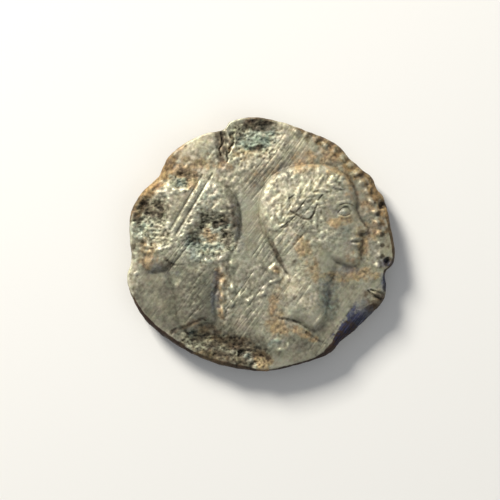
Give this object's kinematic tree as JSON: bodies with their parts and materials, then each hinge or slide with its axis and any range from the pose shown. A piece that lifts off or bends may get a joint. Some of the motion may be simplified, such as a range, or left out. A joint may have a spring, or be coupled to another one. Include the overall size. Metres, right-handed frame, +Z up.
{
  "type": "ancient coin",
  "caption": "Worn ancient bronze coin with two heads back to back on the obverse and a plain altar on the reverse, lying flat.",
  "frame": {"origin": "middle of the coin's outline, on the surface that the coin rests on", "axes": "+Z up out of the obverse, +Y towards the top of the portraits, +X towards the right-hand portrait"},
  "size_m": [0.0266, 0.0254, 0.0035],
  "materials": {
    "patinated_bronze": "worn, scratched and corroded, with a grey-green to dark patina"
  },
  "bodies": {
    "root": {"coin": "patinated_bronze"}
  },
  "joints": []
}
